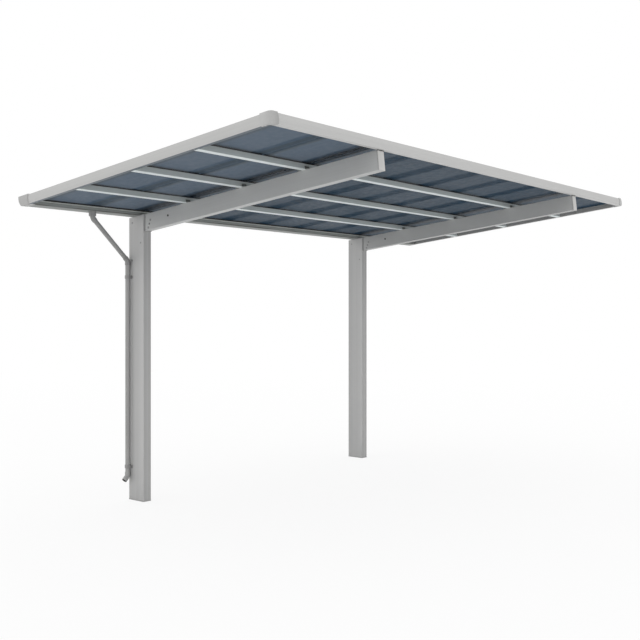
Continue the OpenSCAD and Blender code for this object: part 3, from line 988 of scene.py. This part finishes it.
def bracket_object():
    """One bent plate: a leg on the arm along x and a leg up the purlin's side, with its bend rounded."""
    plate, width, leg, rise, bend = sizes().bracket_plate, sizes().bracket_width, 0.030, 0.021, 0.006
    sharp, bevel = 1.2, 0.0006
    ring = [(plate, rise), (0.0, rise), (0.0, 0.0), (leg, 0.0), (leg, plate)]
    for step in range(5):
        angle = math.radians(270 - 90 * step / 4)
        centre = plate + bend
        ring.append((centre + bend * math.cos(angle), centre + bend * math.sin(angle)))
    build = bmesh.new()
    add_loops(build, [[(x, y, z) for x, z in ring] for y in (-width / 2, width / 2)], False)
    bmesh.ops.recalc_face_normals(build, faces=build.faces)
    edges = [edge for edge in build.edges if edge.calc_face_angle(0.0) > sharp]
    bmesh.ops.bevel(build, geom=edges, offset=bevel, segments=2, affect="EDGES")
    return new_object("purlin_bracket_source", built_mesh("purlin_bracket", build))


class CARPORT_OT_purlin_brackets(bpy.types.Operator):
    """Fix each purlin to each arm with a dark bent bracket on both sides, and two screws each."""

    bl_idname = "carport.purlin_brackets"
    bl_label = "Purlin brackets"

    def execute(self, context):
        size = sizes()
        plate, shift, flat, upright = size.bracket_plate, 0.022, 0.019, 0.013
        brackets, screws = [], []
        for arm in ARMS:
            for row in purlin_rows():
                for side in (-1, 1):
                    x, y = row + side * size.purlin_width / 2, arm - shift
                    brackets.append(roof_point((x, y, 0), UP, (side, 0, 0)))
                    screws.append(roof_point((x + side * flat, y, plate), UP))
                    screws.append(roof_point((x + side * plate, y, upright), (side, 0, 0), (0, 1, 0)))
        source = bracket_object()
        points = point_mesh("purlin_brackets", brackets)
        grow("purlin_brackets", points, piece_tree(), {"piece": source}, "bracket")
        bpy.data.objects.remove(source)
        add_screws("bracket_screws", screws, "bracket", "arm_metal", head=0.010, height=0.0022)
        return {"FINISHED"}


class CARPORT_OT_pipe_screws(bpy.types.Operator):
    """Screw the pipe clips to the post, with one spare screw by the lower bend."""

    bl_idname = "carport.pipe_screws"
    bl_label = "Pipe screws"

    def execute(self, context):
        inset, tab = 0.010, 0.004
        screws = []
        for node, proud in (("upper_pipe_clip", tab), ("lower_pipe_clip", tab), ("lower_elbow", 0.0)):
            low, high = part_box(node)
            x = screws[0][0].x if node == "lower_elbow" else high.x - inset
            place = Vector((x, POST_LOW.y - proud, (low.z + high.z) / 2))
            screws.append((place, (0, -1, 0), ALONG_X))
        add_screws("pipe_clip_screws", screws, "zinc", "clip_plastic", head=0.013, height=0.0032)
        return {"FINISHED"}


class CARPORT_OT_roof_trims(bpy.types.Operator):
    """Lay the weather seals and tapes, close the sheets' low ends, and rib and screw the joint strips."""

    bl_idname = "carport.roof_trims"
    bl_label = "Roof trims"

    def execute(self, context):
        self.seal_sheets(sizes())
        self.close_ends(sizes())
        self.dress_strips(sizes())
        return {"FINISHED"}

    @staticmethod
    def seal_sheets(size):
        """The weather seal inside the rims, the tapes on the purlins and the lip of the gutter's seal."""
        low, high, side = -size.sheet_overhang, inner_high(), inner_side()
        lap, tape_out, lip_out, seal_height = 0.002, 0.0007, 0.001, 0.005
        rubber = ("seal", "seal_rubber")
        z = size.purlin_height + size.sheet_thickness + seal_height / 2
        corners = ((low, -side - lap), (high + lap, -side - lap), (high + lap, side + lap), (low, side + lap))
        seal = on_roof([(x, y, z) for x, y in corners])
        add_sections("rim_weather_seal", [seal], *rubber, width=0.007, height=seal_height, edge=0.0012)
        z = size.purlin_height - size.tape_lip / 2
        out = size.purlin_width / 2 + tape_out
        tapes = [roof_line(row + edge * out, -side, side, z) for row in purlin_rows() for edge in (-1, 1)]
        add_sections("purlin_tapes", tapes, *rubber, width=0.0022, height=size.tape_lip, edge=0.0007)
        lip = roof_line(size.bead_end + lip_out, -side, side, size.purlin_height - size.seal_lip / 2)
        add_sections("gutter_seal_lip", [lip], *rubber, width=0.003, height=size.seal_lip, edge=0.0010)

    @staticmethod
    def close_ends(size):
        """A closer on the low end of each sheet."""
        x, z = -size.sheet_overhang - 0.0005, size.purlin_height + size.sheet_thickness / 2
        inset, gap, half_joint = 0.012, 0.002, size.joint_gap / 2
        rows = joint_rows()
        first = [-ROOF_LENGTH / 2 + inset + gap, *(row + half_joint for row in rows)]
        last = [*(row - half_joint for row in rows), ROOF_LENGTH / 2 - inset - gap]
        ends = [roof_line(x, start, end, z) for start, end in zip(first, last)]
        section = {"width": 0.0016, "height": size.sheet_thickness, "edge": 0.0004}
        add_sections("sheet_end_closers", ends, "gutter", "gutter_metal", **section)

    @staticmethod
    def dress_strips(size):
        """Two ribs along each joint strip, and two screws where it crosses a purlin."""
        low, high = -size.sheet_overhang, inner_high() - 0.004
        rib_out, screw_out = 0.050, 0.062
        z = size.purlin_height + size.sheet_thickness + size.strip_thickness
        ribs, screws = [], []
        for joint in joint_rows():
            for y in (joint - rib_out, joint + rib_out):
                ribs.append(on_roof([(low, y, z), (high, y, z)]))
            for row in purlin_rows():
                screws.extend(roof_point((row, y, z), UP) for y in (joint - screw_out, joint + screw_out))
        section = {"width": 0.008, "height": 0.005, "edge": 0.0018}
        add_sections("joint_strip_ribs", ribs, "strip", "joint_plastic", **section)
        add_screws("joint_strip_screws", screws, "zinc", "joint_plastic", head=0.012, height=0.0024)


class CARPORT_OT_foot_trims(bpy.types.Operator):
    """Close each post with a low trim at the ground and a plate in its top, under the gutter."""

    bl_idname = "carport.foot_trims"
    bl_label = "Foot trims"

    def execute(self, context):
        size = sizes()
        high, post_radius, plate_radius = size.foot_trim, 0.004, 0.002
        loops = [rounded_loop(low, top, post_radius, high / 2) for low, top in POSTS]
        section = {"width": 0.003, "height": high, "edge": 0.0008}
        add_sections("post_foot_trims", loops, "trim", "post_metal", closed=True, **section)

        plates = bmesh.new()
        inset = Vector((size.post_wall, size.post_wall, 0))
        start = Vector((POST_HIGH.x, POST_PITCH / 2, 0))
        for low, top in POSTS:
            first, last = low + inset - start, top - inset - start
            first.x /= math.cos(size.roof_pitch)
            last.x /= math.cos(size.roof_pitch)
            loops = []
            for w, edge in ((-0.0045, 0.0), (-0.0014, 0.0), (-0.0004, 0.0010)):
                gap = Vector((edge, edge, 0))
                loops.append(on_roof(rounded_loop(first + gap, last - gap, plate_radius, w)))
            add_loops(plates, loops, False)
        keep_rings("post_top_plates", plates, "cap")
        return {"FINISHED"}


class CARPORT_OT_corner_screws(bpy.types.Operator):
    """Screw the corner pieces and the side rims from below."""

    bl_idname = "carport.corner_screws"
    bl_label = "Corner screws"

    def execute(self, context):
        high = [sizes().roof_run - distance for distance in HIGH_CORNER_SCREWS]
        screws = []
        for end in (-1, 1):
            y = end * (ROOF_LENGTH / 2 - CORNER_SCREW_INSET)
            screws.extend(roof_point((x, y, 0), DOWN) for x in (*high, *GUTTER_CORNER_SCREWS, *purlin_rows()))
        add_screws("corner_screws", screws, "zinc", "corner_plastic", head=0.009, height=0.0014)
        return {"FINISHED"}


def floor_finish(studio):
    """Pale floor: mostly even white, so that the object's shadow stays faint, and clear from below."""
    finish = Finish("studio_floor", (0.95, 0.95, 0.95))
    grain = finish.noise(finish.place(), 2.0, 3.0)
    pale = finish.mix(grain.stretch(0.3, 0.7), finish.base, (0.96, 0.96, 0.96))
    lit = finish.add("ShaderNodeBsdfDiffuse", {}, {"Color": pale})
    white = finish.add("ShaderNodeEmission", {}, {"Color": (1, 1, 1, 1), "Strength": 1.0})
    x, y, _ = finish.split(finish.place())
    away = (x * x + y * y).math("SQRT")
    seen = finish.add("ShaderNodeLightPath", output="Is Camera Ray")
    bounce = studio.bounce
    share = seen * away.stretch(5.0, 16.0, studio.glow - bounce, 1.0 - bounce) + bounce
    shown = finish.add("ShaderNodeMixShader", {}, {0: share, 1: lit, 2: white})
    clear = finish.add("ShaderNodeBsdfTransparent")
    under = finish.add("ShaderNodeNewGeometry", output="Backfacing")
    return finish.close(finish.add("ShaderNodeMixShader", {}, {0: under, 1: shown, 2: clear}))


class CARPORT_OT_stage(bpy.types.Operator):
    """Set up the floor, the white surroundings that light the carport, and the camera."""

    bl_idname = "carport.stage"
    bl_label = "Studio"

    def execute(self, context):
        scene = context.scene
        studio = scene.carport_studio
        scene.view_settings.view_transform = "Standard"
        self.make_floor(studio)
        self.make_surroundings(scene, studio)
        self.make_camera(scene, studio)
        return {"FINISHED"}

    @staticmethod
    def make_floor(studio):
        """A wide round floor on the ground."""
        build = bmesh.new()
        bmesh.ops.create_circle(build, cap_ends=True, segments=96, radius=60.0)
        mesh = built_mesh("studio_floor", build)
        mesh.materials.append(floor_finish(studio))
        floor = new_object("studio_floor", mesh)

    @staticmethod
    def make_surroundings(scene, studio):
        """Even white surroundings."""
        world = bpy.data.worlds.new("studio_white")
        world.use_nodes = True
        scene.world = world
        light = world.node_tree.nodes["Background"]
        light.inputs["Color"].default_value = (1.0, 1.0, 1.0, 1.0)
        light.inputs["Strength"].default_value = studio.sky

    @staticmethod
    def make_camera(scene, studio):
        """The camera at the photograph's place."""
        lens = bpy.data.cameras.new("view_from_drive")
        lens.sensor_fit = "HORIZONTAL"
        lens.sensor_width = 36.0
        lens.lens = studio.lens
        lens.shift_y = studio.shift
        scene.camera = new_object("view_from_drive", lens)
        scene.camera.location = (studio.camera_x, studio.camera_y, studio.camera_z)
        scene.camera.rotation_euler = (math.radians(90), 0, studio.camera_turn)


class CARPORT_PT_panel(bpy.types.Panel):
    """Sidebar panel with the carport's settings and steps."""

    bl_idname = "CARPORT_PT_panel"
    bl_label = "Carport"
    bl_space_type = "VIEW_3D"
    bl_region_type = "UI"
    bl_category = "Carport"

    def draw(self, context):
        for step in STEPS:
            self.layout.operator(step.bl_idname)
        for group in GROUPS:
            settings = getattr(context.scene, group)
            column = self.layout.column(align=True)
            for key in settings.__annotations__:
                column.prop(settings, key)


STEPS = (
    CARPORT_OT_finish_solids,
    CARPORT_OT_arm_screws,
    CARPORT_OT_post_screws,
    CARPORT_OT_arm_gaskets,
    CARPORT_OT_purlin_brackets,
    CARPORT_OT_pipe_screws,
    CARPORT_OT_roof_trims,
    CARPORT_OT_foot_trims,
    CARPORT_OT_corner_screws,
    CARPORT_OT_stage,
)
GROUPS = {
    "carport_sizes": CarportSizes,
    "carport_colours": CarportColours,
    "carport_studio": CarportStudio,
}


def register():
    """Registers the settings, the steps and the panel."""
    for kind in (*GROUPS.values(), *STEPS, CARPORT_PT_panel):
        bpy.utils.register_class(kind)
    for name, kind in GROUPS.items():
        setattr(bpy.types.Scene, name, PointerProperty(type=kind))


def unregister():
    """Takes the settings, the steps and the panel away again."""
    for name in GROUPS:
        delattr(bpy.types.Scene, name)
    for kind in (CARPORT_PT_panel, *reversed(STEPS), *GROUPS.values()):
        bpy.utils.unregister_class(kind)


def main():
    """Builds the looks in order."""
    register()
    for step in STEPS:
        group, name = step.bl_idname.split(".")
        getattr(getattr(bpy.ops, group), name)()


if __name__ == "__main__":
    main()
